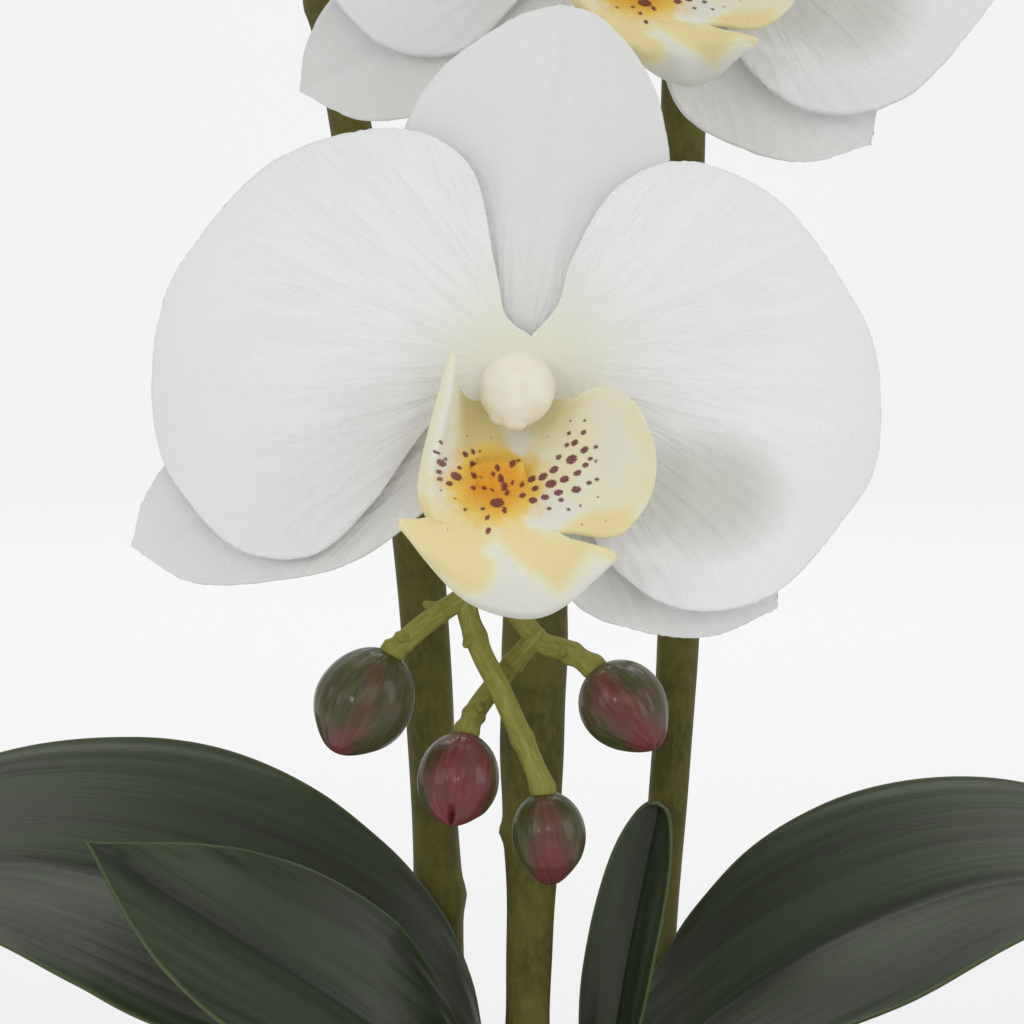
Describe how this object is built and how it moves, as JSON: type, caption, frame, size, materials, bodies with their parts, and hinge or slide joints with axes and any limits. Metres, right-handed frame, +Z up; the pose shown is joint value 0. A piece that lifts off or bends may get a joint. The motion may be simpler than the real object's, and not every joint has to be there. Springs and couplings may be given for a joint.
{
  "type": "potted orchid",
  "caption": "Potted moth orchid with arching leaves and flower spikes that carry open white flowers and closed buds, in a round glazed pot.",
  "frame": {"origin": "centre of the flat underside of the pot", "axes": "+Z up along the pot's axis, the flowers face -Y, +X to the right of a viewer who looks at the flowers"},
  "size_m": [0.2447, 0.1287, 0.4124],
  "materials": {
    "pot": "gloss",
    "bark": "matte",
    "crown": "satin",
    "leaf": "satin",
    "stem": "matte",
    "bud": "satin",
    "sepal": "matte",
    "petal": "matte",
    "lip": "matte",
    "column": "satin"
  },
  "bodies": {
    "root": {"pot": "pot", "bark": "bark", "crown": "crown", "leaf_left_upper": "leaf", "leaf_left_front": "leaf", "leaf_left_lower": "leaf", "leaf_right_upper": "leaf", "leaf_right_inner": "leaf", "leaf_right_lower": "leaf", "spike_left": "stem", "spike_middle": "stem", "spike_right": "stem", "bud_1": "bud", "bud_2": "bud", "bud_3": "bud", "bud_4": "bud", "bud_5": "bud", "bud_6": "bud", "bud_7": "bud", "bud_8": "bud", "flower_1_dorsal_sepal": "sepal", "flower_1_lateral_sepal_left": "sepal", "flower_1_lateral_sepal_right": "sepal", "flower_1_petal_left": "petal", "flower_1_petal_right": "petal", "flower_1_lip": "lip", "flower_1_column": "column", "flower_2_dorsal_sepal": "sepal", "flower_2_lateral_sepal_left": "sepal", "flower_2_lateral_sepal_right": "sepal", "flower_2_petal_left": "petal", "flower_2_petal_right": "petal", "flower_2_lip": "lip", "flower_2_column": "column", "flower_3_dorsal_sepal": "sepal", "flower_3_lateral_sepal_left": "sepal", "flower_3_lateral_sepal_right": "sepal", "flower_3_petal_left": "petal", "flower_3_petal_right": "petal", "flower_3_lip": "lip", "flower_3_column": "column", "flower_4_dorsal_sepal": "sepal", "flower_4_lateral_sepal_left": "sepal", "flower_4_lateral_sepal_right": "sepal", "flower_4_petal_left": "petal", "flower_4_petal_right": "petal", "flower_4_lip": "lip", "flower_4_column": "column", "flower_5_dorsal_sepal": "sepal", "flower_5_lateral_sepal_left": "sepal", "flower_5_lateral_sepal_right": "sepal", "flower_5_petal_left": "petal", "flower_5_petal_right": "petal", "flower_5_lip": "lip", "flower_5_column": "column"}
  },
  "joints": []
}
